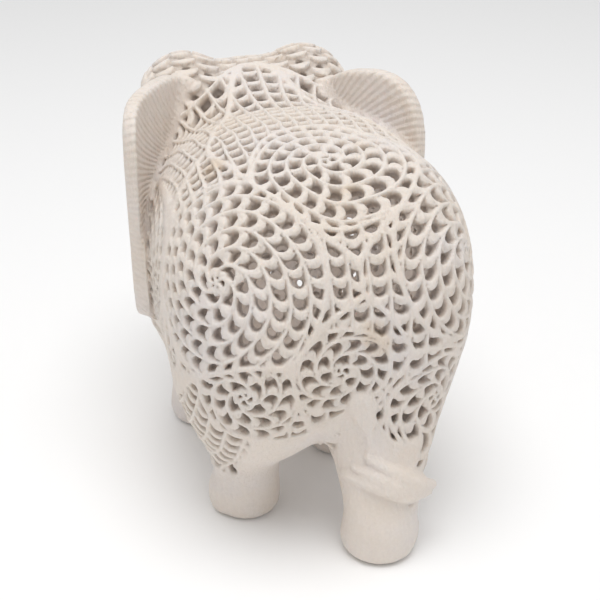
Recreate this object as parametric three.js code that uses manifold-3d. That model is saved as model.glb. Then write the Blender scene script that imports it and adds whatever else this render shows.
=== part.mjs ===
import * as THREE from 'three';
import { ConvexHull } from 'three/addons/math/ConvexHull.js';
import { mergeVertices } from 'three/addons/utils/BufferGeometryUtils.js';
import Module from 'manifold-3d';

// A walking elephant carved from one block of soapstone, with a hollow body and a pierced scroll pattern.
// It stands on Z = 0, faces -Y, and its left side is +X.

// Driving sizes in millimetres
const HEIGHT = 130; // ground to the top of the head
const WALL = 4.6; // pierced shell of the body
const HOLE_WIDTH = 5.4;
const HOLE_LENGTH = 5.6;
const HOLE_PITCH = 9.4; // between neighbouring holes of a band
const BAND_PITCH = 9.4; // between neighbouring bands
const PIT_DEPTH = 2.6; // blind scales of the head
const FOOT_SWELL = 0.6; // rise of each foot from its ankle
const FOOT_ROUNDING = 1.2; // taken off the edge of each sole
const EAR_THICKNESS = 4.8;
const EAR_RIB = 0.7; // rise of each rib from its groove
const TRUNK_ROOT_RADIUS = 16;
const TRUNK_TIP_RADIUS = 5.6;
const TUSK_RADIUS = 2.8;
const TAIL_RADIUS = 3.4;
const TUFT_RADIUS = 3.6;
const EYE_RADIUS = 2.4;

// Facets of the round forms
const SHELL_DETAIL = 3;
const HEAD_DETAIL = 4;
const LEG_SIDES = 12;
const LEG_STEPS = 7;
const TRUNK_SIDES = 10;
const TRUNK_STEPS = 14;
const BAR_SIDES = 8; // tail and tusks
const BAR_STEPS = 5;
const LIP_SIDES = 10;
const EYE_SIDES = 6;
const EAR_SIDES = 24;
const SEARCH_STEPS = 26;

const STONE_COLOUR = 0xe6ddd2;

const wasm = await Module();
wasm.setup();

// Places and proportions are shares of the height
function at(x, y, z) {
  return new THREE.Vector3(x, y, z).multiplyScalar(HEIGHT);
}

function span(share) {
  return share * HEIGHT;
}

// Round forms as distance fields, negative inside
function ellipsoid(centre, radii) {
  return (point) => {
    const scaled = point.clone().sub(centre).divide(radii);
    const size = scaled.length();
    const steepness = Math.max(scaled.divide(radii).length(), Number.EPSILON);
    return (size * (size - 1)) / steepness;
  };
}

// A barrel is an ellipsoid with fuller corners
function barrel(centre, radii, fullness) {
  const flattest = Math.min(radii.x, radii.z);
  return (point) => {
    const scaled = point.clone().sub(centre).divide(radii);
    const powers = scaled.toArray().map((side) => Math.abs(side) ** fullness);
    return (powers.reduce((sum, power) => sum + power) ** (1 / fullness) - 1) * flattest;
  };
}

function blend(radius, ...fields) {
  return (point) => fields.map((field) => field(point)).reduce((first, second) => {
    const overlap = Math.max(radius - Math.abs(first - second), 0);
    return Math.min(first, second) - overlap ** 2 / (4 * radius);
  });
}

function grown(field, distance) {
  return (point) => field(point) - distance;
}

function mirroredPair(make) {
  return [-1, 1].map(make);
}

// The left legs are a step ahead of the right ones, and haunches and shoulders follow them
const torsoCentre = at(0, 0, 0.577);
const haunches = [at(-0.156, 0.205, 0.6), at(0.15, 0.185, 0.508)]
  .map((middle) => ellipsoid(middle, at(0.181, 0.215, 0.323)));
const shoulders = [at(-0.15, -0.231, 0.523), at(0.15, -0.246, 0.5)]
  .map((middle) => ellipsoid(middle, at(0.192, 0.185, 0.292)));
const barrelFullness = 2.45;
const trunkOfBody = barrel(at(-0.012, 0, 0.582), at(0.363, 0.424, 0.364), barrelFullness);
const neck = ellipsoid(at(0, -0.303, 0.694), at(0.262, 0.185, 0.231));
const nape = ellipsoid(at(0.01, -0.36, 0.79), at(0.17, 0.19, 0.165));
const torsoField = blend(span(0.077), trunkOfBody, ...haunches, ...shoulders, neck, nape);

const headCentre = at(0, -0.48, 0.74);
const domeMiddles = [at(-0.148, -0.446, 0.88), at(0.168, -0.446, 0.884)];
const domes = domeMiddles.map((middle) => ellipsoid(middle, at(0.119, 0.142, 0.119)));
const skull = ellipsoid(at(0, -0.495, 0.709), at(0.238, 0.215, 0.231));
const crown = ellipsoid(at(0, -0.45, 0.85), at(0.16, 0.14, 0.12));
const headField = blend(span(0.046), skull, crown, ...domes);

function bare(geometry) {
  geometry.deleteAttribute('normal');
  geometry.deleteAttribute('uv');
  return mergeVertices(geometry);
}

function reshape(geometry, move) {
  const closed = bare(geometry);
  const position = closed.getAttribute('position');
  const vertex = new THREE.Vector3();
  for (let index = 0; index < position.count; index += 1) {
    vertex.fromBufferAttribute(position, index);
    position.setXYZ(index, ...move(vertex).toArray());
  }
  return closed;
}

function solid(geometry) {
  return new wasm.Manifold(new wasm.Mesh({
    numProp: 3,
    vertProperties: new Float32Array(geometry.getAttribute('position').array),
    triVerts: new Uint32Array(geometry.getIndex().array),
  }));
}

// The point where a ray from a centre leaves a field
function surfacePoint(centre, direction, field) {
  let inside = 0;
  let outside = HEIGHT;
  for (let step = 0; step < SEARCH_STEPS; step += 1) {
    const middle = (inside + outside) / 2;
    const isInside = field(centre.clone().addScaledVector(direction, middle)) < 0;
    inside = isInside ? middle : inside;
    outside = isInside ? outside : middle;
  }
  return centre.clone().addScaledVector(direction, inside);
}

function surfaceNormal(point, field) {
  const reach = span(0.004);
  const slope = (axis) => field(point.clone().addScaledVector(axis, reach))
    - field(point.clone().addScaledVector(axis, -reach));
  const axes = [new THREE.Vector3(1, 0, 0), new THREE.Vector3(0, 1, 0), new THREE.Vector3(0, 0, 1)];
  return new THREE.Vector3(...axes.map(slope)).normalize();
}

// A sphere blown out from a centre until it meets a field's surface
function balloon(centre, field, detail) {
  return reshape(new THREE.IcosahedronGeometry(1, detail), (vertex) =>
    surfacePoint(centre, vertex.clone().normalize(), field));
}

// A round bar along a curve, flattened by a share of its radius across its side
function limb(points, side, radiusAt, sides, steps, flatness = 1) {
  const curve = new THREE.CatmullRomCurve3(points);
  return reshape(new THREE.CylinderGeometry(1, 1, 1, sides, steps), (vertex) => {
    const along = vertex.y + 1 / 2;
    const tangent = curve.getTangent(along);
    const across = side.clone().addScaledVector(tangent, -side.dot(tangent)).normalize();
    const outwards = across.clone().cross(tangent);
    const radius = radiusAt(along);
    return curve.getPoint(along)
      .addScaledVector(across, vertex.x * radius)
      .addScaledVector(outwards, vertex.z * radius * flatness);
  });
}

const SIDEWAYS = new THREE.Vector3(1, 0, 0);
const UPWARDS = new THREE.Vector3(0, 0, 1);
const FLATTENED = 0.6;

function mix(from, to, amount) {
  return THREE.MathUtils.lerp(from, to, amount);
}

// A leg swells from its ankle to its foot and thigh, and leans from its foot's place to its hip's
function leg({ foot, hip, ankle, thigh }) {
  const stations = [{ lean: 0, height: -0.02 }, { lean: 0, height: 0.1 }, { lean: 0.3, height: 0.21 },
    { lean: 1, height: 0.42 }];
  const points = stations.map(({ lean, height }) =>
    at(mix(foot[0], hip[0], lean), mix(foot[1], hip[1], lean), height));
  const [soleTop, footTop, ankleFoot, ankleTop, thighTop, hipTop] = [0.15, 0.4, 0.15, 0.3, 0.9, 0.85];
  const radiusAt = (along) => {
    const upper = THREE.MathUtils.smoothstep(along, ankleTop, thighTop);
    const lower = 1 - THREE.MathUtils.smoothstep(along, ankleFoot, footTop);
    const sole = 1 - THREE.MathUtils.smoothstep(along, 0, soleTop);
    const buried = 1 - THREE.MathUtils.smoothstep(along, hipTop, 1) / 2;
    return (mix(ankle, thigh, upper) + FOOT_SWELL * lower - FOOT_ROUNDING * sole) * buried;
  };
  return limb(points, SIDEWAYS, radiusAt, LEG_SIDES, LEG_STEPS);
}

// Places of feet and hips as shares of the height, radii in millimetres
const legs = [
  { foot: [-0.095, 0.388], hip: [-0.128, 0.25], ankle: 11.3, thigh: 19 },
  { foot: [0.168, 0.14], hip: [0.19, 0.17], ankle: 10.4, thigh: 16.5 },
  { foot: [-0.14, -0.06], hip: [-0.145, -0.14], ankle: 10.6, thigh: 16 },
  { foot: [0.184, -0.3], hip: [0.165, -0.24], ankle: 10.6, thigh: 16 },
];

// The trunk hangs down in front and curls forward at its tip
function trunk() {
  const points = [at(0, -0.58, 0.72), at(0, -0.69, 0.55), at(0, -0.735, 0.38), at(0, -0.745, 0.24),
    at(0, -0.775, 0.15), at(0, -0.825, 0.13)];
  const taper = 0.7;
  const radiusAt = (along) => mix(TRUNK_ROOT_RADIUS, TRUNK_TIP_RADIUS, along ** taper);
  return limb(points, SIDEWAYS, radiusAt, TRUNK_SIDES, TRUNK_STEPS);
}

function tusk(side) {
  const points = [at(side * 0.08, -0.6, 0.585), at(side * 0.105, -0.7, 0.5), at(side * 0.1, -0.78, 0.475)];
  return limb(points, SIDEWAYS, (along) => TUSK_RADIUS * (1 - along / 2), BAR_SIDES, BAR_STEPS);
}

function ball(centre, radii, sides) {
  return reshape(new THREE.SphereGeometry(1, sides, sides - 2), (vertex) =>
    vertex.clone().multiply(radii).add(centre));
}

function lip() {
  return ball(at(0, -0.62, 0.5), at(0.055, 0.07, 0.05), LIP_SIDES);
}

function eye(side) {
  const place = surfacePoint(headCentre, at(side * 0.2, -0.17, 0.0).normalize(), headField);
  return ball(place, new THREE.Vector3().setScalar(EYE_RADIUS), EYE_SIDES);
}

// The left ear flares and then turns back along the flank, and the right one spreads wider and tips up
const leftEar = { stand: 0.2417, sweep: 45, curl: -1.07, squareness: 5, tilt: 0 };
const rightEar = { stand: 0.183, sweep: 28.6, curl: 0.52, squareness: 2.5, tilt: 0.2 };

// Each ear is a plate with full corners, squarer below, with ribs that fan out to its rim
function ear(side) {
  const form = side > 0 ? leftEar : rightEar;
  const sweep = THREE.MathUtils.degToRad(form.sweep);
  const root = at(side * form.stand, -0.308, 0.71);
  const outwards = new THREE.Vector3(side * Math.sin(sweep), Math.cos(sweep), 0);
  const facing = new THREE.Vector3(side * Math.cos(sweep), -Math.sin(sweep), 0);
  const halfLength = span(0.17);
  const halfHeight = span(0.277);
  const middle = span(0.1);
  const curl = form.curl / HEIGHT;
  const lobe = 0.12;
  const squarerBelow = 2;
  const innerRing = 0.55;
  const profile = [[0, -1], [innerRing, -1], [1, -1], [1, 1], [innerRing, 1], [0, 1]]
    .map((corner) => new THREE.Vector2(...corner));
  const plate = new THREE.LatheGeometry(profile, EAR_SIDES);
  return reshape(plate, (vertex) => {
    const reach = Math.hypot(vertex.x, vertex.z);
    const turn = Math.atan2(vertex.z, vertex.x);
    const below = THREE.MathUtils.smoothstep(side * vertex.z, 0, reach);
    const fullness = form.squareness + squarerBelow * below;
    const powers = [Math.cos(turn), Math.sin(turn)].map((share) => Math.abs(share) ** fullness);
    const corner = (powers[0] + powers[1]) ** (-1 / fullness);
    const height = -side * vertex.z * corner;
    const along = middle + halfLength * vertex.x * corner * (1 + lobe * height);
    const rib = EAR_RIB * reach * Math.cos(turn * EAR_SIDES / 2);
    const lift = (vertex.y * (EAR_THICKNESS + rib)) / 2 + curl * along ** 2;
    return root.clone()
      .addScaledVector(outwards, along)
      .addScaledVector(UPWARDS, halfHeight * height + form.tilt * (along - middle))
      .addScaledVector(facing, lift);
  });
}

// The tail comes down the rump in low relief, and its tuft swings across the right hind leg
function tail() {
  const points = [at(-0.031, 0.4, 0.43), at(-0.04, 0.406, 0.36), at(-0.058, 0.422, 0.275)];
  return limb(points, SIDEWAYS, () => TAIL_RADIUS, BAR_SIDES, BAR_STEPS, FLATTENED);
}

function tuft() {
  const points = [at(-0.005, 0.4, 0.228), at(-0.059, 0.442, 0.242), at(-0.103, 0.457, 0.226),
    at(-0.156, 0.45, 0.198), at(-0.212, 0.415, 0.176)];
  const taper = 0.55;
  const radiusAt = (along) => TUFT_RADIUS * (1 - taper * along ** 2);
  return limb(points, UPWARDS, radiusAt, BAR_SIDES, BAR_STEPS, FLATTENED);
}

// Scroll rounds of the pattern: azimuth from the rump's centre towards the left side, elevation, radius
const scrolls = [
  { azimuth: 41, elevation: 20, radius: 0.235, turn: -1 },
  { azimuth: -40, elevation: 20, radius: 0.2, turn: 1 },
  { azimuth: 3, elevation: -8, radius: 0.105, turn: -1 },
  { azimuth: 32, elevation: -14, radius: 0.11, turn: 1 },
  { azimuth: -27, elevation: -20, radius: 0.1, turn: 1 },
  { azimuth: -6, elevation: 62, radius: 0.19, turn: 1 },
  { azimuth: 100, elevation: 8, radius: 0.2, turn: 1 },
  { azimuth: -104, elevation: 8, radius: 0.2, turn: -1 },
];

function heading(azimuth, elevation) {
  const turn = THREE.MathUtils.degToRad(azimuth);
  const rise = THREE.MathUtils.degToRad(elevation);
  return new THREE.Vector3(Math.sin(turn) * Math.cos(rise), Math.cos(turn) * Math.cos(rise), Math.sin(rise));
}

function holePlace(direction, pointing) {
  const point = surfacePoint(torsoCentre, direction, torsoField);
  const normal = surfaceNormal(point, torsoField);
  const tip = pointing.clone().addScaledVector(normal, -pointing.dot(normal)).normalize();
  return { point, normal, tip };
}

// A scroll is a middle hole with rings of holes around it, each pointing on round the ring
function scrollPlaces({ azimuth, elevation, radius, turn }) {
  const middle = surfacePoint(torsoCentre, heading(azimuth, elevation), torsoField);
  const normal = surfaceNormal(middle, torsoField);
  const east = UPWARDS.clone().cross(normal).normalize();
  const north = normal.clone().cross(east);
  const places = [];
  const firstRing = BAND_PITCH * 3 / 4;
  for (let ring = firstRing; ring < span(radius); ring += BAND_PITCH) {
    const count = Math.floor((2 * Math.PI * ring) / HOLE_PITCH);
    for (let index = 0; index < count; index += 1) {
      const angle = turn * ((2 * Math.PI * index) / count + ring / BAND_PITCH);
      const radial = east.clone().multiplyScalar(Math.cos(angle)).addScaledVector(north, Math.sin(angle));
      const around = normal.clone().cross(radial).multiplyScalar(turn);
      const direction = middle.clone().addScaledVector(radial, ring).sub(torsoCentre).normalize();
      places.push(holePlace(direction, around));
    }
  }
  return places;
}

// Level rows fill the ground between the scrolls, with tips pointing down, closer than the holes can lie
function rowPlaces() {
  const places = [];
  const reach = span(0.42);
  const closeness = 4;
  const lowest = THREE.MathUtils.degToRad(-34);
  const rise = BAND_PITCH / (closeness * reach);
  for (let elevation = lowest; elevation < Math.PI / 2; elevation += rise) {
    const girth = 2 * Math.PI * reach * Math.cos(elevation);
    const around = Math.max(Math.floor((closeness * girth) / HOLE_PITCH), 1);
    for (let index = 0; index < around; index += 1) {
      const azimuth = (360 * index) / around;
      const down = UPWARDS.clone().negate();
      places.push(holePlace(heading(azimuth, THREE.MathUtils.radToDeg(elevation)), down));
    }
  }
  return places;
}

// The pattern keeps clear of the head, the ears' roots, the legs and the plain belly
function isPierced({ point, normal }) {
  const underside = span(0.33);
  const steepestDown = -0.62;
  const shoulderLine = span(-0.3);
  const tailTop = span(0.43);
  const tailMiddle = span(-0.04);
  const tailHalfWidth = span(0.055);
  const isAboveLegs = point.z > underside && normal.z > steepestDown;
  const isBehindHead = headField(point) > HOLE_WIDTH && point.y > shoulderLine;
  const isBesideTail = point.z > tailTop || Math.abs(point.x - tailMiddle) > tailHalfWidth || point.y < 0;
  return isAboveLegs && isBehindHead && isBesideTail;
}

function spacedPlaces(candidates) {
  const slack = 0.95;
  const spacing = Math.min(HOLE_PITCH, BAND_PITCH) * slack;
  const kept = [];
  for (const place of candidates.filter(isPierced)) {
    if (kept.every((other) => other.point.distanceTo(place.point) > spacing)) {
      kept.push(place);
    }
  }
  return kept;
}

// The corners of one hole, as directions from a centre: a flat heel, straight sides and a pointed arch
function holeCorners(centre, { point, tip }) {
  const distance = point.distanceTo(centre);
  const half = HOLE_WIDTH / (2 * distance);
  const heel = -HOLE_LENGTH / (2 * distance);
  const shoulder = -heel / 5;
  const outwards = point.clone().sub(centre).normalize();
  const along = tip.clone().addScaledVector(outwards, -tip.dot(outwards)).normalize();
  const across = along.clone().cross(outwards);
  const corners = [[-half, heel], [half, heel], [half, shoulder], [0, -heel], [-half, shoulder]];
  return corners.map(([sidewards, onwards]) => outwards.clone()
    .addScaledVector(across, sidewards)
    .addScaledVector(along, onwards)
    .normalize());
}

// Directions spread over a ball, without those that would crowd a hole
function fillingDirections(detail, corners) {
  const ball = bare(new THREE.IcosahedronGeometry(1, detail)).getAttribute('position');
  const clearance = Math.PI / (4 * (detail + 2));
  const directions = [];
  for (let index = 0; index < ball.count; index += 1) {
    const direction = new THREE.Vector3().fromBufferAttribute(ball, index).normalize();
    if (corners.every((corner) => corner.angleTo(direction) > clearance)) {
      directions.push(direction);
    }
  }
  return directions;
}

// Triangles over a ball of directions, each marked with the hole that it closes or -1
function netOf(holes, detail) {
  const corners = holes.flat();
  const directions = [...corners, ...fillingDirections(detail, corners)];
  const numberOf = new Map(directions.map((direction, index) => [direction, index]));
  const holeOf = holes.flatMap((hole, index) => hole.map(() => index));
  const faces = new ConvexHull().setFromPoints(directions).faces.map(({ edge }) => {
    const face = [edge, edge.next, edge.next.next].map((side) => numberOf.get(side.head().point));
    const owners = new Set(face.map((index) => holeOf[index] ?? -1));
    return { face, hole: owners.size === 1 ? [...owners][0] : -1 };
  });
  return { directions, faces };
}

// The rim of the holes: directed edges of hole faces that no other hole face shares
function rimEdges(faces) {
  const edges = faces.filter(({ hole }) => hole >= 0)
    .flatMap(({ face: [first, second, third] }) => [[first, second], [second, third], [third, first]]);
  const known = new Set(edges.map((edge) => edge.join()));
  return edges.filter(([from, to]) => !known.has([to, from].join()));
}

// A skin over a form with a deeper layer at a set depth: the far side of a pierced shell, or the pits' floors
function carvedForm(centre, field, holes, detail, depth, isShell) {
  const { directions, faces } = netOf(holes, detail);
  const deeper = directions.length;
  const skin = directions.map((direction) => surfacePoint(centre, direction, field));
  const floor = directions.map((direction) => surfacePoint(centre, direction, grown(field, -depth)));
  const triangles = [];
  for (const { face, hole } of faces) {
    const below = face.map((index) => index + deeper);
    if (hole < 0) {
      triangles.push(face);
    }
    if (isShell && hole < 0) {
      triangles.push(below.reverse());
    }
    if (!isShell && hole >= 0) {
      triangles.push(below);
    }
  }
  for (const [from, to] of rimEdges(faces)) {
    triangles.push([from, to, to + deeper], [from, to + deeper, from + deeper]);
  }
  const corners = [...skin, ...floor];
  const geometry = new THREE.BufferGeometry().setFromPoints(triangles.flat().map((index) => corners[index]));
  return solid(mergeVertices(geometry));
}

// Blind scales in rings round each dome of the head, four in the first ring and eight in the second
function domePits() {
  const steepest = 0.35;
  const ringStep = 0.55;
  const ringCounts = [4, 8];
  const pits = domeMiddles.flatMap((middle) => ringCounts.flatMap((count, ring) => {
    const slope = steepest + ring * ringStep;
    return Array.from({ length: count }, (_, index) => {
      const turn = (2 * Math.PI * (index + ring / 2)) / count;
      const tip = new THREE.Vector3(Math.sin(slope) * Math.cos(turn), Math.sin(slope) * Math.sin(turn),
        Math.cos(slope));
      return { point: surfacePoint(middle, tip, headField), tip };
    });
  }));
  return pits.filter((pit) => torsoField(pit.point) > 0);
}

function torso() {
  const places = spacedPlaces([...scrolls.flatMap(scrollPlaces), ...rowPlaces()]);
  const holes = places.map((place) => holeCorners(torsoCentre, place));
  return carvedForm(torsoCentre, torsoField, holes, SHELL_DETAIL, WALL, true);
}

function head() {
  const pits = domePits().map((pit) => holeCorners(headCentre, pit));
  return carvedForm(headCentre, headField, pits, HEAD_DETAIL, PIT_DEPTH, false);
}

function elephant() {
  let limbs = head().add(solid(trunk())).add(solid(lip())).add(solid(tail())).add(solid(tuft()));
  for (const place of legs) {
    limbs = limbs.add(solid(leg(place)));
  }
  for (const side of [-1, 1]) {
    limbs = limbs.add(solid(tusk(side))).add(solid(eye(side))).add(solid(ear(side)));
  }
  const insideOfWall = balloon(torsoCentre, grown(torsoField, -WALL / 2), SHELL_DETAIL);
  const ground = new THREE.BoxGeometry(span(2), span(2), span(1)).translate(0, 0, -span(0.5));
  return limbs.subtract(solid(insideOfWall)).add(torso()).subtract(solid(bare(ground)));
}

// The finished body stands centred over the origin
function meshOf(name, body, material) {
  const { vertProperties, triVerts } = body.getMesh();
  const geometry = new THREE.BufferGeometry();
  geometry.setAttribute('position', new THREE.BufferAttribute(vertProperties, 3));
  geometry.setIndex(new THREE.BufferAttribute(triVerts, 1));
  geometry.computeVertexNormals();
  geometry.computeBoundingBox();
  const middle = geometry.boundingBox.getCenter(new THREE.Vector3());
  const mesh = new THREE.Mesh(geometry, material);
  mesh.name = name;
  mesh.position.set(-middle.x, -middle.y, 0);
  return mesh;
}

const stoneMaterial = new THREE.MeshStandardMaterial({ color: STONE_COLOUR, roughness: 0.85, metalness: 0 });

const sculpture = new THREE.Group();
sculpture.add(meshOf('elephant', elephant(), stoneMaterial));

export default sculpture;
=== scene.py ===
"""A soapstone elephant: its round form as a distance field, its lattice cut into it, and one mesh of it."""
import math

import bpy
import numpy as np
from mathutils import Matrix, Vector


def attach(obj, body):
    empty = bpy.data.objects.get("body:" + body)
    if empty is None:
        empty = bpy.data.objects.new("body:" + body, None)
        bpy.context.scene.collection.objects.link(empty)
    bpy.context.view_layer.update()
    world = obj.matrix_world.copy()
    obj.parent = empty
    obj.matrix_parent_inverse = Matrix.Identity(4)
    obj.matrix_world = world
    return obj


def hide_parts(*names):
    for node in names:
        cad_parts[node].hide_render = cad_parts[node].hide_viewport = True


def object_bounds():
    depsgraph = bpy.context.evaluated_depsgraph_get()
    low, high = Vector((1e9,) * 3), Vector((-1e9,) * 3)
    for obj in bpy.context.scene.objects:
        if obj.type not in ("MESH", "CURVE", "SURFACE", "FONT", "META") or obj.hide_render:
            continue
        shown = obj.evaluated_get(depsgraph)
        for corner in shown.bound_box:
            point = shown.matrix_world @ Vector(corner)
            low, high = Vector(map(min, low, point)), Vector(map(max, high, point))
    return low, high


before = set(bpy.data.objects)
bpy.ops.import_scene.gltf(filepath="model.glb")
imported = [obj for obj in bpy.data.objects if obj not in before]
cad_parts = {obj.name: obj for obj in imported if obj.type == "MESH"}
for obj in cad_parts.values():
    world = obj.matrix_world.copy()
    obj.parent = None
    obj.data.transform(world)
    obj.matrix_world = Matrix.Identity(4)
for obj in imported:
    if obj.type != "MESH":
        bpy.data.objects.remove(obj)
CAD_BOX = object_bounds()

import openvdb
from mathutils import Vector

# Driving sizes in millimetres; places and proportions are shares of the height
MM = 0.001
DOME_TOP = 1.002
HEIGHT = (CAD_BOX[1][2] - CAD_BOX[0][2]) / MM / DOME_TOP
MIDDLE = (0.0104 * HEIGHT, -0.1796 * HEIGHT)
WALL = 4.6
BAND = 5.4  # width of a row of tongues on the body
SCALE = 6.4  # width of a row of scales on the head
STEM = 0.6  # half the width of a stem between two rows
HOLE_RADIUS = 1.6
PITCH = 1.1  # from tongue to tongue, in widths of the row
CARVED_DEPTH = 1.5  # how far the ground falls beyond a tongue's tip
PIT_DEPTH = 5.2  # how far a drilled hole goes in
EAR_THICKNESS = 4.8
VOXEL = 0.42
TRIANGLES = 196000


def share(*values):
    return np.array(values, np.float32) * HEIGHT


# Distance fields of round forms, negative inside. A place is a tuple of x, y and z arrays.
def ellipsoid(place, centre, radii):
    scaled = [(axis - middle) / radius for axis, middle, radius in zip(place, centre, radii)]
    size = np.sqrt(sum(axis * axis for axis in scaled))
    steepness = np.sqrt(sum((axis / radius) ** 2 for axis, radius in zip(scaled, radii)))
    return size * (size - 1) / np.maximum(steepness, 1e-6)


def barrel(place, centre, radii, fullness):
    scaled = [np.abs(axis - middle) / radius for axis, middle, radius in zip(place, centre, radii)]
    size = sum(axis ** fullness for axis in scaled) ** (1 / fullness)
    return (size - 1) * min(radii[0], radii[2])


def blend(radius, first, second):
    overlap = np.maximum(radius - np.abs(first - second), 0)
    return np.minimum(first, second) - overlap * overlap / (4 * radius)


def round_bar(place, start, end, start_radius, end_radius):
    axis = np.asarray(end, np.float32) - np.asarray(start, np.float32)
    offset = [value - origin for value, origin in zip(place, start)]
    along = sum(part * step for part, step in zip(offset, axis)) / float(axis @ axis)
    along = np.clip(along, 0, 1)
    gap = np.sqrt(sum((part - along * step) ** 2 for part, step in zip(offset, axis)))
    return gap - (start_radius + (end_radius - start_radius) * along)


def smooth(low, high, value):
    ratio = np.clip((value - low) / (high - low), 0, 1)
    return ratio * ratio * (3 - 2 * ratio)


def curve_points(points, count):
    """Points along a Catmull-Rom curve through a few points."""
    points = np.asarray(points, np.float32)
    ends = np.vstack([2 * points[0] - points[1], points, 2 * points[-1] - points[-2]])
    result = []
    for place in np.linspace(0, len(points) - 1, count):
        index = min(int(place), len(points) - 2)
        t = place - index
        a, b, c, d = ends[index:index + 4]
        result.append(0.5 * (2 * b + (c - a) * t + (2 * a - 5 * b + 4 * c - d) * t ** 2
                             + (3 * b - a - 3 * c + d) * t ** 3))
    return np.array(result)


# The round form, in the same shares of the height as the frame's node
BARREL_CENTRE, BARREL_RADII, BARREL_FULLNESS = (-0.012, 0, 0.582), (0.363, 0.424, 0.364), 2.45
HAUNCHES = ((-0.156, 0.205, 0.6), (0.15, 0.185, 0.508))
HAUNCH_RADII = (0.181, 0.215, 0.323)
SHOULDERS = ((-0.15, -0.231, 0.523), (0.15, -0.246, 0.5))
SHOULDER_RADII = (0.192, 0.185, 0.292)
NECK = (((0, -0.303, 0.694), (0.262, 0.185, 0.231)), ((0.01, -0.36, 0.79), (0.17, 0.19, 0.165)))
BODY_BLEND = 0.077
SKULL = ((0, -0.495, 0.709), (0.238, 0.215, 0.231))
CROWN = ((0, -0.45, 0.85), (0.16, 0.14, 0.12))
DOME_RADII = (0.119, 0.142, 0.119)
HEAD_BLEND = 0.046
CHIN = ((0, -0.62, 0.5), (0.055, 0.07, 0.05))
TORSO_CENTRE = share(0, 0, 0.577)
HEAD_CENTRE = share(0, -0.48, 0.74)
# Each leg's foot and hip in plan, then its radius in millimetres at the ankle and at the thigh
LEGS = (((-0.095, 0.388), (-0.13, 0.26), 11.3, 19.2), ((0.168, 0.14), (0.19, 0.17), 10.4, 17.0),
        ((-0.14, -0.06), (-0.145, -0.14), 10.6, 16.0), ((0.184, -0.3), (0.165, -0.24), 10.6, 16.0))
FOOT_SWELL = 0.6
SWELL_HEIGHT, SWELL_SPREAD = 0.035, 0.045
TOE_REACH = 1.2  # how far the swelling leans to the front, in millimetres
SOLE_ROUNDING = 5.0
LEAN_FROM, TAPER_FROM, LEG_TOP = 0.08, 0.1, 0.38
# Fillets in millimetres where a form joins those before it
JOIN = {"leg": 7, "head": 10, "trunk": 5, "chin": 3, "tusk": 1.5, "ear": 2.5, "toe": 2.5, "tuft": 1.5}


def torso_field(place):
    field = barrel(place, share(*BARREL_CENTRE), share(*BARREL_RADII), BARREL_FULLNESS)
    muscles = [(haunch, HAUNCH_RADII) for haunch in HAUNCHES]
    muscles += [(shoulder, SHOULDER_RADII) for shoulder in SHOULDERS]
    for middle, radii in (*muscles, *NECK):
        field = blend(BODY_BLEND * HEIGHT, field, ellipsoid(place, share(*middle), share(*radii)))
    return field


def head_field(place):
    field = ellipsoid(place, share(*SKULL[0]), share(*SKULL[1]))
    field = blend(HEAD_BLEND * HEIGHT, field, ellipsoid(place, share(*CROWN[0]), share(*CROWN[1])))
    for side in (-1, 1):
        middle = share(0.01 + side * 0.158, -0.446, 0.882 + side * 0.002)
        field = blend(HEAD_BLEND * HEIGHT, field, ellipsoid(place, middle, share(*DOME_RADII)))
    return field


def leg_field(place, foot, hip, ankle, thigh):
    """A leg leans from its foot to its hip, tapers to the ankle and swells to the foot."""
    height = np.clip(place[2] / HEIGHT, 0, LEG_TOP)
    lean = smooth(LEAN_FROM, LEG_TOP, height)
    centre = [HEIGHT * (low + (high - low) * lean) for low, high in zip(foot, hip)]
    swell = np.exp(-((height - SWELL_HEIGHT) / SWELL_SPREAD) ** 2)
    radius = ankle + (thigh - ankle) * smooth(TAPER_FROM, LEG_TOP, height) + FOOT_SWELL * swell
    above = np.maximum(place[2] - LEG_TOP * HEIGHT, 0)
    gap = np.sqrt((place[0] - centre[0]) ** 2 + (place[1] - centre[1] + TOE_REACH * swell) ** 2 + above ** 2)
    side = gap - radius
    return -blend(SOLE_ROUNDING, -side, place[2] + 0 * side)


# The swelling of a toe on each hind foot: its middle and its radii in millimetres
TOES = [((-0.095 * HEIGHT - 9.0, 0.388 * HEIGHT - 2.0, 6.5), (3.6, 5.5, 6.0)),
        ((0.168 * HEIGHT + 8.6, 0.14 * HEIGHT - 1.0, 7.0), (3.6, 5.5, 7.0))]


def bar_chain(place, points, radii):
    field = None
    for start, end, start_radius, end_radius in zip(points[:-1], points[1:], radii[:-1], radii[1:]):
        bar = round_bar(place, start, end, start_radius, end_radius)
        field = bar if field is None else np.minimum(field, bar)
    return field


TRUNK_POINTS = [share(0, -0.58, 0.72), share(0, -0.69, 0.55), share(0, -0.735, 0.38), share(0, -0.745, 0.24),
                share(0, -0.765, 0.15), share(0, -0.797, 0.13)]
TRUNK_ROOT_RADIUS, TRUNK_TIP_RADIUS, TRUNK_TAPER = 16, 5.6, 0.7
WRINKLE_HEIGHT, WRINKLE_RATE = 0.25, 1.9  # millimetres, and radians to a millimetre
TUSK_ROOT_RADIUS, TUSK_TIP_RADIUS = 2.8, 1.5


def trunk_field(place):
    points = curve_points(TRUNK_POINTS, 12)
    along = np.linspace(0, 1, len(points))
    radii = TRUNK_ROOT_RADIUS + (TRUNK_TIP_RADIUS - TRUNK_ROOT_RADIUS) * along ** TRUNK_TAPER
    below_face = smooth(0.66 * HEIGHT, 0.5 * HEIGHT, place[2])
    wrinkle = WRINKLE_HEIGHT * np.cos(place[2] * WRINKLE_RATE) * below_face
    return bar_chain(place, points, radii) + wrinkle


def eye_field(place, side):
    """An almond eye in relief on the side of the head."""
    return ellipsoid(place, share(side * 0.203, -0.6, 0.755), share(0.016, 0.03, 0.016))


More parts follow.
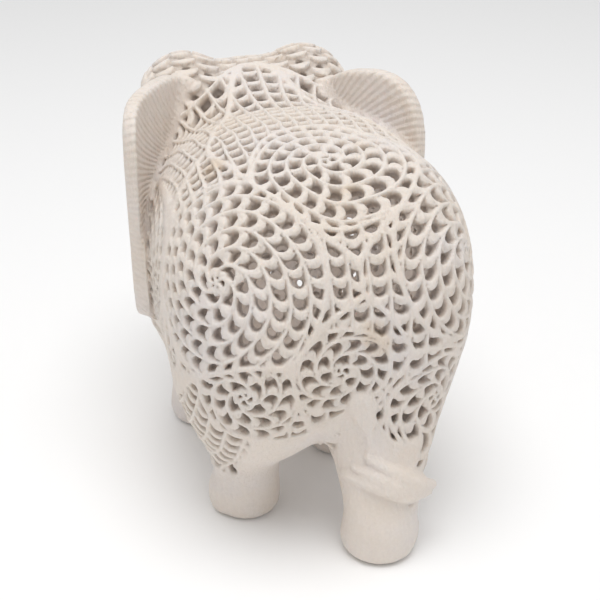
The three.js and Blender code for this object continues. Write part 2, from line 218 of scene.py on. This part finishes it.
def tusk_field(place, side):
    points = curve_points([share(side * 0.08, -0.6, 0.585), share(side * 0.105, -0.7, 0.5),
                           share(side * 0.1, -0.775, 0.477)], 6)
    return bar_chain(place, points, np.linspace(TUSK_ROOT_RADIUS, TUSK_TIP_RADIUS, len(points)))


# How far an ear's root stands out, the sweep there, how it curls on its way back, and how square its rim is
EARS = {1: (0.2417, math.radians(45), -1.07, 5.0), -1: (0.183, math.radians(28.6), 0.52, 2.5)}
EAR_TILT = 0.2
EAR_MIDDLE, EAR_HALF_LENGTH, EAR_HALF_HEIGHT = 0.1, 0.17, 0.277
EAR_LOBE = 0.12
SQUARER_BELOW = 2
EAR_ROUNDING = 1.0


def ear_place(place, side):
    """Coordinates in an ear's plate: back along it, up, and out of its face."""
    stand, sweep, curl, _ = EARS[side]
    root = share(side * stand, -0.308, 0.71)
    offset = [value - origin for value, origin in zip(place, root)]
    along = side * math.sin(sweep) * offset[0] + math.cos(sweep) * offset[1]
    out = side * math.cos(sweep) * offset[0] - math.sin(sweep) * offset[1]
    return along, offset[2], out - curl / HEIGHT * along * along


def ear_field(place, side):
    along, up, out = ear_place(place, side)
    tilt = EAR_TILT if side < 0 else 0.0
    height = (up - tilt * (along - EAR_MIDDLE * HEIGHT)) / (EAR_HALF_HEIGHT * HEIGHT)
    level = np.clip(height, -1, 1)
    reach = (along - EAR_MIDDLE * HEIGHT) / (EAR_HALF_LENGTH * HEIGHT * (1.0 + EAR_LOBE * level))
    fullness = EARS[side][3] + SQUARER_BELOW * smooth(0.2, -0.6, height)
    size = (np.abs(reach) ** fullness + np.abs(height) ** fullness) ** (1 / fullness)
    rim = (size - 1) * EAR_HALF_LENGTH * HEIGHT
    plate = np.abs(out) - EAR_THICKNESS / 2
    return -blend(EAR_ROUNDING, -rim, -plate)


TAIL_POINTS = [share(-0.031, 0.41, 0.43), share(-0.036, 0.413, 0.39), share(-0.043, 0.418, 0.35),
               share(-0.058, 0.432, 0.275)]
TAIL_HALF_WIDTH = 3.3
TAIL_RELIEF = 0.9
TAIL_SOFTNESS = 0.8
STRANDS = [[share(-0.046, 0.41, 0.285), share(-0.093, 0.437, 0.26), share(-0.141, 0.444, 0.228),
            share(-0.173, 0.436, 0.203), share(-0.208, 0.412, 0.18)],
           [share(-0.02, 0.392, 0.25), share(-0.059, 0.428, 0.244), share(-0.103, 0.45, 0.226),
            share(-0.156, 0.443, 0.195), share(-0.212, 0.408, 0.175)],
           [share(-0.004, 0.37, 0.222), share(-0.042, 0.42, 0.224), share(-0.09, 0.45, 0.211),
            share(-0.14, 0.452, 0.188), share(-0.195, 0.425, 0.172)]]


def tail_strip(place):
    """Distance from the tail's line, which runs down the rump in low relief."""
    return bar_chain(place, curve_points(TAIL_POINTS, 8), np.zeros(8))


def tuft_field(place):
    """Three strands that swing from the tail's end across the right hind leg."""
    field = None
    for strand in STRANDS:
        along = np.linspace(0, 1, 9)
        radii = 0.4 + 1.9 * np.sin(math.pi * (0.04 + 0.8 * along)) ** 0.8
        bar = bar_chain(place, curve_points(strand, 9), radii)
        field = bar if field is None else blend(0.6, field, bar)
    return field


class Grid:
    """A box of evenly spaced points around the elephant, every second one of the grid that is meshed."""

    def __init__(self, step, low, counts):
        self.step = step
        self.low = low
        self.counts = counts

    def axes(self):
        return [low + self.step * np.arange(count, dtype=np.float32)
                for low, count in zip(self.low, self.counts)]

    def place(self):
        x, y, z = self.axes()
        return (x[:, None, None], y[None, :, None], z[None, None, :])


def doubled(field):
    """The same field with a point added between each two."""
    for axis in range(3):
        field = np.moveaxis(field, axis, 0)
        finer = np.empty((2 * field.shape[0] - 1,) + field.shape[1:], np.float32)
        finer[0::2] = field
        finer[1::2] = (field[:-1] + field[1:]) / 2
        field = np.moveaxis(finer, 0, axis)
    return np.ascontiguousarray(field)


def coarse_grid():
    low = share(-0.395, -0.865, -0.012)
    high = share(0.395, 0.5, 1.022)
    step = 2 * VOXEL
    counts = np.ceil((high - low) / step).astype(int) + 1
    return Grid(step, low, counts)


def form_fields(grid):
    """The torso, the head and the whole form on a coarse grid."""
    place = grid.place()
    torso = torso_field(place)
    head = head_field(place)
    form = torso
    for leg in LEGS:
        form = blend(JOIN["leg"], form, leg_field(place, *leg))
    form = blend(JOIN["head"], form, head)
    form = blend(JOIN["trunk"], form, trunk_field(place))
    form = blend(JOIN["chin"], form, ellipsoid(place, share(*CHIN[0]), share(*CHIN[1])))
    for side in (-1, 1):
        form = blend(JOIN["tusk"], form, tusk_field(place, side))
        form = blend(JOIN["ear"], form, ear_field(place, side))
    for middle, radii in TOES:
        form = blend(JOIN["toe"], form, ellipsoid(place, middle, radii))
    on_tail = smooth(TAIL_HALF_WIDTH + TAIL_SOFTNESS, TAIL_HALF_WIDTH - TAIL_SOFTNESS, tail_strip(place))
    form = form - TAIL_RELIEF * on_tail
    form = blend(JOIN["tuft"], form, tuft_field(place))
    form = np.minimum(form, np.minimum(eye_field(place, -1), eye_field(place, 1)))
    form = np.maximum(form, -place[2] + 0 * form)
    return torso, head, form


# The lattice is drawn on the skin in directions from a centre, and its holes go in square to the skin
def heading(azimuth, elevation):
    turn, rise = math.radians(azimuth), math.radians(elevation)
    return np.array([math.sin(turn) * math.cos(rise), math.cos(turn) * math.cos(rise), math.sin(rise)])


def polar(direction, middle, reach):
    """Distance in millimetres and angle round a middle direction, counter-clockwise as seen from outside."""
    east = np.cross([0, 0, 1], middle)
    east /= np.linalg.norm(east)
    north = np.cross(middle, east)
    cosine = sum(axis * part for axis, part in zip(direction, middle))
    right = sum(axis * part for axis, part in zip(direction, east))
    up = sum(axis * part for axis, part in zip(direction, north))
    return np.arccos(np.clip(cosine, -1, 1)) * reach, np.arctan2(up, right)


def scroll(azimuth, elevation, radius, turn, arms, band=BAND):
    middle = heading(azimuth, elevation)
    return {"middle": middle, "radius": radius, "turn": turn, "arms": arms, "band": band}


TORSO_SCROLLS = [
    scroll(41, 20, 31, -1, 5), scroll(-42, 21, 25, 1, 5), scroll(2.6, -7, 14, -1, 3, 4.9),
    scroll(31, -13, 15, 1, 4, 4.9), scroll(-28, -21, 14, 1, 4, 4.9), scroll(-6, 62, 25, 1, 3),
    scroll(100, 8, 26, 1, 5), scroll(-104, 8, 26, -1, 5),
]
TORSO_REACH = 56.0
HEAD_REACH = 38.0
SWAY = 0.007  # the hand's unsteadiness, as a share of a direction
FLANK_LINE = 0.82  # how far sideways the rows turn from the back to the flank
UNREPEATED_ROWS = 97


def spiral_bands(direction, spiral, reach):
    """Band number, way along it in tongues, and the band's true width, in a scroll of several arms."""
    distance, angle = polar(direction, spiral["middle"], reach)
    band, arms, turn = spiral["band"], spiral["arms"], spiral["turn"]
    across = distance / band - turn * arms * angle / (2 * math.pi)
    climb = band * arms / (2 * math.pi)
    centre_line = distance - (across - np.floor(across) - 0.5) * band * smooth(climb, 2 * climb, distance)
    ratio = np.maximum(centre_line, 0) / climb
    way = climb / 2 * (ratio * np.sqrt(1 + ratio * ratio) + np.arcsinh(ratio))
    width = band / np.sqrt(1 + (climb / np.maximum(distance, 0.5)) ** 2)
    return across, way / (PITCH * band), width, arms


def saddle_bands(direction, reach, band):
    """Bands that run over the back and down the rump."""
    across = np.arcsin(np.clip(direction[0], -1, 1)) * reach / band
    turn = np.arctan2(direction[2], direction[1])
    stretch = 0.6 * np.maximum(turn - 1.7, 0) ** 2
    return across, -(turn + stretch) * reach / (PITCH * band)


def flank_bands(direction, reach, band):
    """Bands that run back along the flank, one above the other."""
    across = np.arcsin(np.clip(direction[2], -1, 1)) * reach / band
    along = -np.abs(np.arctan2(direction[0], direction[1])) * reach / (PITCH * band)
    return across, along


def hashed(first, second):
    return np.mod(np.sin(first * 12.9898 + second * 78.233) * 43758.5453, 1.0).astype(np.float32)


def tongues(across, along, width, border, pitch, arms, stagger, high):
    """A chain of rounded tongues in each band, laid like tiles, with a drilled hole beyond each tip and a
    stem on each side, or as scales without stems where the rows are staggered. On high ground the tongues
    are longer. Gives the depth below the skin and the height of the hole's field, both in millimetres."""
    number = np.floor(across)
    offset = across - number - 0.5
    row = np.mod(number, arms)
    along = along + 0.3 * hashed(row, arms) + stagger * np.mod(number, 2)
    aside = np.abs(offset)
    if stagger:
        bow = 0.5 * (1 - np.sqrt(1 - 0.96 * (2 * aside) ** 2))
    else:
        bow = 0.36 * (1 - np.sqrt(1 - np.minimum(aside / 0.4, 1) ** 2)) + 0.26 * smooth(0.31, 0.44, aside)
    cell = np.floor(along + bow)
    t = along + 0.3 * bow - cell
    chance = hashed(row, cell)
    to_stem = np.minimum((0.5 - aside) * width + 2 * stagger, 0.8 * border - 0.1)
    ground = smooth(STEM * 0.4, STEM * 1.6, to_stem)
    depth = 0.3 + CARVED_DEPTH * (0.9 + 0.2 * chance) * (1 - smooth(0.24, 0.52 + 0.26 * high, t))
    forward = (along - cell - 0.26) * pitch
    size = HOLE_RADIUS * (0.88 + 0.24 * chance + 0.12 * high) * (1 - 0.4 * stagger)
    drill = size - np.sqrt(forward ** 2 + (offset * width) ** 2)
    hole = np.minimum(drill, to_stem - STEM * 0.7)
    return depth * ground, hole


def lattice(direction, scrolls, reach, band, stagger):
    x, y, z = direction
    direction = (x + SWAY * np.sin(19 * y + 3 * z), y + SWAY * np.sin(17 * z + 5 * x),
                 z + SWAY * np.sin(21 * x + 2 * y))
    length = np.sqrt(sum(axis * axis for axis in direction))
    direction = tuple(axis / length for axis in direction)
    nearest = np.full(x.shape, 1e3, np.float32)
    runner_up = np.full(x.shape, 3e3, np.float32)
    owner = np.full(x.shape, -1, np.int8)
    for index, spiral in enumerate(scrolls):
        edge = polar(direction, spiral["middle"], reach)[0] - spiral["radius"]
        closer = edge < nearest
        runner_up = np.where(closer, nearest, np.minimum(runner_up, edge))
        nearest = np.where(closer, edge, nearest)
        owner = np.where(closer, index, owner)
    owner = np.where(nearest > 0, -1, owner)
    border = np.minimum(np.abs(nearest), (runner_up - nearest) / 2)
    sideways = np.abs(direction[0])
    on_flank = sideways > FLANK_LINE
    saddle = saddle_bands(direction, reach, band)
    flank = flank_bands(direction, reach, band)
    across = np.where(on_flank, flank[0], saddle[0])
    along = np.where(on_flank, flank[1], saddle[1])
    to_flank_line = np.abs(sideways - FLANK_LINE) * reach * 1.7
    border = np.where(owner < 0, np.minimum(border, to_flank_line), border)
    border = border - 1.2 * smooth(0.7, 0.85, sideways)
    high = smooth(0.6, 0.82, direction[2])
    depth, hole = tongues(across, along, band, border, PITCH * band, UNREPEATED_ROWS, stagger, high)
    for index, spiral in enumerate(scrolls):
        inside = owner == index
        if inside.any():
            part = tuple(axis[inside] for axis in direction)
            across_part, along_part, width, arms = spiral_bands(part, spiral, reach)
            depth[inside], hole[inside] = tongues(
                across_part, along_part, width, border[inside], PITCH * spiral["band"], arms, 0, high[inside])
    return depth, hole


def pattern_zone(place, torso, head, normal):
    """Millimetres from the edge of the carved zone, positive inside it."""
    x, y, z = place
    azimuth = np.degrees(np.arctan2(x, y))
    over_tail = np.exp(-((azimuth + 1) / 9) ** 2)
    rump_edge = 46 + 7 * over_tail - 6 * smooth(-9, -16, azimuth)
    outer_leg = np.minimum((normal[0] * np.sign(x) - 0.42) * 14, z - 0.155 * HEIGHT)
    outer_leg = np.minimum(outer_leg, y - 0.1 * HEIGHT)
    body = np.maximum(z - rump_edge * HEIGHT / 130, outer_leg)
    body = np.minimum(body, y + 0.4 * HEIGHT)
    crown = np.minimum(z - 0.87 * HEIGHT, y + 0.56 * HEIGHT)
    return np.where(torso < head, body, crown)


# Plain skin left beside the ears, the tail, its tuft and the trunk, in millimetres
BESIDE_EAR, BESIDE_TAIL, BESIDE_TUFT, BESIDE_TRUNK = 1.0, 0.6, 1.0, 2.0
SKIN_ABOVE = 1.2  # how far outside the form the fine field is still cut
RIM_HEIGHT = 0.3


def carved_zone(place, torso, head, normal):
    """The patterned zone without the plain parts that cross it and the seam of head and torso."""
    zone = pattern_zone(place, torso, head, normal)
    zone = np.minimum(zone, np.minimum(ear_field(place, -1), ear_field(place, 1)) - BESIDE_EAR)
    zone = np.minimum(zone, tail_strip(place) - TAIL_HALF_WIDTH - BESIDE_TAIL)
    zone = np.minimum(zone, tuft_field(place) - BESIDE_TUFT)
    zone = np.minimum(zone, trunk_field(place) - BESIDE_TRUNK)
    return np.minimum(zone, np.abs(torso - head) * 0.7)


def carve(grid, torso, head, form):
    """Cuts the lattice and the cavity into the form, on a grid twice as fine."""
    normal = np.gradient(form, grid.step)
    size = np.maximum(np.sqrt(sum(axis * axis for axis in normal)), 0.3)
    normal = [(axis / size).astype(np.float32) for axis in normal]
    torso_fine, head_fine, fine = doubled(torso), doubled(head), doubled(form)
    step = grid.step / 2
    shell = np.flatnonzero((fine < SKIN_ABOVE) & (fine > -PIT_DEPTH - 1.5))
    i, j, k = np.unravel_index(shell, fine.shape)
    place = [grid.low[axis] + step * index.astype(np.float32) for axis, index in enumerate((i, j, k))]
    half = (i // 2, j // 2, k // 2)
    face = [axis[half] for axis in normal]
    sunk = fine.reshape(-1)[shell] / size[half]
    skin = [axis - sunk * part for axis, part in zip(place, face)]
    torso_part, head_part = torso_fine.reshape(-1)[shell], head_fine.reshape(-1)[shell]
    values = fine.reshape(-1)[shell]
    zone = carved_zone(place, torso_part, head_part, face)
    depth = np.zeros_like(values)
    hole = np.full_like(values, -5)
    for belongs, centre, scrolls, reach, band, stagger in (
            (torso_part < head_part, TORSO_CENTRE, TORSO_SCROLLS, TORSO_REACH, BAND, 0.0),
            (torso_part >= head_part, HEAD_CENTRE, [], HEAD_REACH, SCALE, 0.5)):
        chosen = belongs & (zone > -0.2)
        offset = [axis[chosen] - middle for axis, middle in zip(skin, centre)]
        length = np.sqrt(sum(axis * axis for axis in offset))
        direction = tuple(axis / length for axis in offset)
        depth[chosen], hole[chosen] = lattice(direction, scrolls, reach, band, stagger)
    rim = RIM_HEIGHT * np.exp(-((zone + 0.3) / 0.6) ** 2)
    values = values + depth * smooth(0.0, 1.1, zone) - rim
    pit = np.minimum(np.minimum(hole, zone - 0.7), fine.reshape(-1)[shell] + PIT_DEPTH)
    fine.reshape(-1)[shell] = np.maximum(values, pit)
    fine = np.maximum(fine, -(torso_fine + WALL))
    return np.maximum(fine, -height_field(grid, fine.shape, step))


def height_field(grid, shape, step):
    return (grid.low[2] + step * np.arange(shape[2], dtype=np.float32))[None, None, :]


def meshed(field, grid, name):
    """A closed mesh of quads on the field's zero surface, reduced to the triangle budget."""
    step = grid.step / 2
    volume = openvdb.FloatGrid(background=3.0)
    volume.copyFromArray(np.clip(field, -3.0, 3.0))
    points, triangles, quads = volume.convertToPolygons(isovalue=0.0, adaptivity=0.0)
    points = (points * step + grid.low - np.array([*MIDDLE, 0])) * MM
    mesh = bpy.data.meshes.new(name)
    faces = [tuple(face[::-1]) for face in quads.tolist() + triangles.tolist()]
    mesh.from_pydata(points.tolist(), [], faces)
    piece = bpy.data.objects.new(name, mesh)
    bpy.context.scene.collection.objects.link(piece)
    count = 2 * len(quads) + len(triangles)
    reduce = piece.modifiers.new("reduce", "DECIMATE")
    reduce.ratio = min(1.0, TRIANGLES / count)
    evaluated = piece.evaluated_get(bpy.context.evaluated_depsgraph_get())
    reduced = bpy.data.meshes.new_from_object(evaluated)
    piece.modifiers.clear()
    piece.data = reduced
    bpy.data.meshes.remove(mesh)
    reduced.name = name
    for polygon in reduced.polygons:
        polygon.use_smooth = True
    return piece


def sampled(grid, field, place):
    """A coarse field's values at points, between its own points in proportion."""
    cells, shares = [], []
    for axis in range(3):
        exact = (place[axis] - grid.low[axis]) / grid.step
        cell = np.clip(exact.astype(int), 0, grid.counts[axis] - 2)
        cells.append(cell)
        shares.append(exact - cell)
    total = 0
    for corner in np.ndindex(2, 2, 2):
        weight = 1
        for step, part in zip(corner, shares):
            weight = weight * (part if step else 1 - part)
        i, j, k = (cell + step for cell, step in zip(cells, corner))
        total = total + weight * field[i, j, k]
    return total


def mark_recesses(mesh, grid, form):
    """How far each point lies below the uncut skin, in millimetres, from which the stone's colour paints
    shade into the holes and recesses.
    """
    points = np.empty(3 * len(mesh.vertices))
    mesh.vertices.foreach_get("co", points)
    place = points.reshape(-1, 3).T / MM + np.array([*MIDDLE, 0])[:, None]
    recess = mesh.attributes.new("recess", "FLOAT", "POINT")
    recess.data.foreach_set("value", -sampled(grid, form, place).astype(np.float32))


def mark_ears(mesh):
    """The ears' faces get the ribbed finish."""
    centres = np.empty(3 * len(mesh.polygons))
    mesh.polygons.foreach_get("center", centres)
    place = centres.reshape(-1, 3).T / MM + np.array([*MIDDLE, 0])[:, None]
    other = np.minimum(torso_field(place), head_field(place))
    ears = np.minimum(ear_field(place, -1), ear_field(place, 1))
    back = place[1] > -0.36 * HEIGHT
    chosen = (ears < 0.5) & (other > 1.2) & back
    mesh.polygons.foreach_set("material_index", chosen.astype(np.int32))


def stone(ribbed=False):
    """Matte pale soapstone: cloudy warm and cool tints, ochre stains, fine grain and rasp marks, with shade
    painted into the holes and recesses.
    """
    material = bpy.data.materials.new("soapstone_ribbed" if ribbed else "soapstone")
    material.use_nodes = True
    nodes, links = material.node_tree.nodes, material.node_tree.links
    shader = nodes["Principled BSDF"]
    shader.inputs["Roughness"].default_value = 0.62
    shader.inputs["Specular IOR Level"].default_value = 0.35
    shader.inputs["Subsurface Weight"].default_value = 0.3
    shader.inputs["Subsurface Radius"].default_value = (1.0, 0.85, 0.7)
    shader.inputs["Subsurface Scale"].default_value = 0.003
    place = nodes.new("ShaderNodeTexCoord")

    def noise(scale, detail, roughness=0.5):
        node = nodes.new("ShaderNodeTexNoise")
        node.inputs["Scale"].default_value = scale
        node.inputs["Detail"].default_value = detail
        node.inputs["Roughness"].default_value = roughness
        links.new(place.outputs["Object"], node.inputs["Vector"])
        return node.outputs["Fac"]

    def ramp(source, *stops):
        node = nodes.new("ShaderNodeValToRGB")
        elements = node.color_ramp.elements
        while len(elements) < len(stops):
            elements.new(1.0)
        for element, (position, colour) in zip(elements, stops):
            element.position = position
            element.color = (*colour, 1.0)
        links.new(source, node.inputs["Fac"])
        return node.outputs["Color"]

    def mixed(first, second, factor, mode="MIX"):
        node = nodes.new("ShaderNodeMix")
        node.data_type = "RGBA"
        node.blend_type = mode
        links.new(first, node.inputs[6])
        links.new(second, node.inputs[7])
        if isinstance(factor, float):
            node.inputs[0].default_value = factor
        else:
            links.new(factor, node.inputs[0])
        return node.outputs[2]

    clouds = ramp(noise(38, 4), (0.3, (0.80, 0.71, 0.625)), (0.5, (0.82, 0.742, 0.675)),
                  (0.72, (0.81, 0.75, 0.72)))
    speckle = ramp(noise(900, 3, 0.7), (0.3, (0.55, 0.50, 0.46)), (0.7, (0.93, 0.88, 0.84)))
    weight = nodes.new("ShaderNodeMath")
    weight.operation = "MULTIPLY"
    weight.inputs[1].default_value = 0.22
    links.new(noise(300, 2), weight.inputs[0])
    base = mixed(clouds, speckle, weight.outputs[0])
    stain = ramp(noise(55, 2), (0.66, (0, 0, 0)), (0.78, (0.35, 0.35, 0.35)))
    ochre = ramp(noise(20, 1), (0.0, (0.62, 0.42, 0.20)), (1.0, (0.68, 0.50, 0.30)))
    base = mixed(base, ochre, stain)
    # Painted shade: the colour darkens with depth below the skin. It is darkest part way down the walls of
    # the holes and cuts, and paler again near the hollow's inner face.
    recess = nodes.new("ShaderNodeAttribute")
    recess.attribute_name = "recess"
    depth = nodes.new("ShaderNodeMapRange")
    depth.inputs["From Max"].default_value = 6.0
    links.new(recess.outputs["Fac"], depth.inputs["Value"])
    painted_shade = ramp(depth.outputs["Result"], (0.08, (1, 1, 1)), (0.25, (0.82, 0.80, 0.78)),
                 (0.42, (0.64, 0.62, 0.61)), (0.75, (0.94, 0.95, 0.97)))
    base = mixed(base, painted_shade, 1.0, "MULTIPLY")
    links.new(base, shader.inputs["Base Color"])

    def bumped(height, distance, strength, below=None):
        node = nodes.new("ShaderNodeBump")
        node.inputs["Strength"].default_value = strength
        node.inputs["Distance"].default_value = distance
        links.new(height, node.inputs["Height"])
        if below:
            links.new(below, node.inputs["Normal"])
        return node.outputs["Normal"]

    surface = bumped(noise(1400, 5, 0.7), 0.0006, 0.6)
    scratches = nodes.new("ShaderNodeMapping")
    scratches.inputs["Scale"].default_value = (2.2, 2.2, 0.35)
    scratches.inputs["Rotation"].default_value = (0.5, 0.9, 0.3)
    links.new(place.outputs["Object"], scratches.inputs["Vector"])
    marks = nodes.new("ShaderNodeTexNoise")
    marks.inputs["Scale"].default_value = 420
    marks.inputs["Detail"].default_value = 3
    links.new(scratches.outputs["Vector"], marks.inputs["Vector"])
    surface = bumped(marks.outputs["Fac"], 0.001, 0.55, surface)
    if ribbed:
        parts = nodes.new("ShaderNodeSeparateXYZ")
        links.new(place.outputs["Object"], parts.inputs["Vector"])

        def maths(operation, first, second):
            node = nodes.new("ShaderNodeMath")
            node.operation = operation
            for socket, value in zip(node.inputs, (first, second)):
                if isinstance(value, float):
                    socket.default_value = value
                else:
                    links.new(value, socket)
            return node.outputs[0]

        back = maths("SUBTRACT", parts.outputs["Y"], float(-0.37 * HEIGHT - MIDDLE[1]) * MM)
        up = maths("SUBTRACT", parts.outputs["Z"], float(0.71 * HEIGHT) * MM)
        ridges = maths("SINE", maths("MULTIPLY", maths("ARCTAN2", up, back), 130.0), 0.0)
        reach = maths("SQRT", maths("ADD", maths("MULTIPLY", back, back), maths("MULTIPLY", up, up)), 0.0)
        fade = nodes.new("ShaderNodeMapRange")
        fade.interpolation_type = "SMOOTHSTEP"
        fade.inputs["From Min"].default_value = 0.014
        fade.inputs["From Max"].default_value = 0.03
        links.new(reach, fade.inputs["Value"])
        ridges = maths("MULTIPLY", ridges, fade.outputs["Result"])
        surface = bumped(ridges, 0.0005, 0.35, surface)
    links.new(surface, shader.inputs["Normal"])
    return material


def add_floor():
    mesh = bpy.data.meshes.new("floor")
    half = 3.0
    corners = [(-half, -half, 0), (half, -half, 0), (half, half, 0), (-half, half, 0)]
    mesh.from_pydata(corners, [], [(0, 1, 2, 3)])
    floor = bpy.data.objects.new("floor", mesh)
    bpy.context.scene.collection.objects.link(floor)
    material = bpy.data.materials.new("floor")
    material.use_nodes = True
    shader = material.node_tree.nodes["Principled BSDF"]
    shader.inputs["Base Color"].default_value = (0.97, 0.97, 0.97, 1)
    shader.inputs["Roughness"].default_value = 0.9
    mesh.materials.append(material)


def add_light(name, place, target, size, power):
    lamp = bpy.data.lights.new(name, "AREA")
    lamp.shape = "DISK"
    lamp.size = size
    lamp.energy = power
    light = bpy.data.objects.new(name, lamp)
    light.location = place
    light.rotation_euler = (Vector(place) - Vector(target)).to_track_quat("Z", "Y").to_euler()
    bpy.context.scene.collection.objects.link(light)


def add_glow():
    """The light that pale stone lets through its thin wall into the hollow."""
    lamp = bpy.data.lights.new("glow", "POINT")
    lamp.shadow_soft_size = 0.02
    lamp.energy = 0.022
    light = bpy.data.objects.new("glow", lamp)
    light.location = Vector((-MIDDLE[0], -MIDDLE[1], 0.577 * HEIGHT)) * MM
    bpy.context.scene.collection.objects.link(light)


# The camera that the photograph was fitted with: degrees, metres, and its aim in millimetres
CAMERA_YAW, CAMERA_ELEVATION, CAMERA_DISTANCE = math.radians(16.2), math.radians(27.65), 0.4
CAMERA_AIM_Y, CAMERA_AIM_Z = -5, 60.97


def add_camera():
    """The photograph's camera: behind, above and a little to the elephant's left."""
    yaw, elevation = CAMERA_YAW, CAMERA_ELEVATION
    target = Vector((-MIDDLE[0], CAMERA_AIM_Y - MIDDLE[1], CAMERA_AIM_Z)) * MM
    level = math.cos(elevation)
    back = Vector((level * math.sin(yaw), level * math.cos(yaw), math.sin(elevation)))
    camera = bpy.data.cameras.new("camera")
    camera.lens = 73.8
    camera.sensor_width = 36
    camera.shift_x = 0.0137
    camera.clip_start = 0.01
    viewer = bpy.data.objects.new("camera", camera)
    viewer.location = target + back * CAMERA_DISTANCE
    viewer.rotation_euler = back.to_track_quat("Z", "Y").to_euler()
    bpy.context.scene.collection.objects.link(viewer)
    bpy.context.scene.camera = viewer


def add_world():
    world = bpy.data.worlds.new("studio")
    world.use_nodes = True
    background = world.node_tree.nodes["Background"]
    background.inputs["Color"].default_value = (1, 1, 1, 1)
    background.inputs["Strength"].default_value = 0.57
    bpy.context.scene.world = world
    bpy.context.scene.view_settings.view_transform = "Standard"


def add_elephant():
    grid = coarse_grid()
    torso, head, form = form_fields(grid)
    piece = meshed(carve(grid, torso, head, form), grid, "carved_elephant")
    piece.data.materials.append(stone())
    piece.data.materials.append(stone(ribbed=True))
    mark_ears(piece.data)
    mark_recesses(piece.data, grid, form)
    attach(piece, "root")
    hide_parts("elephant")


add_elephant()
add_floor()
add_world()
add_light("key", place=(0.06, 0.2, 1.0), target=(0, 0, 0.06), size=0.7, power=5.8)
add_glow()
add_camera()
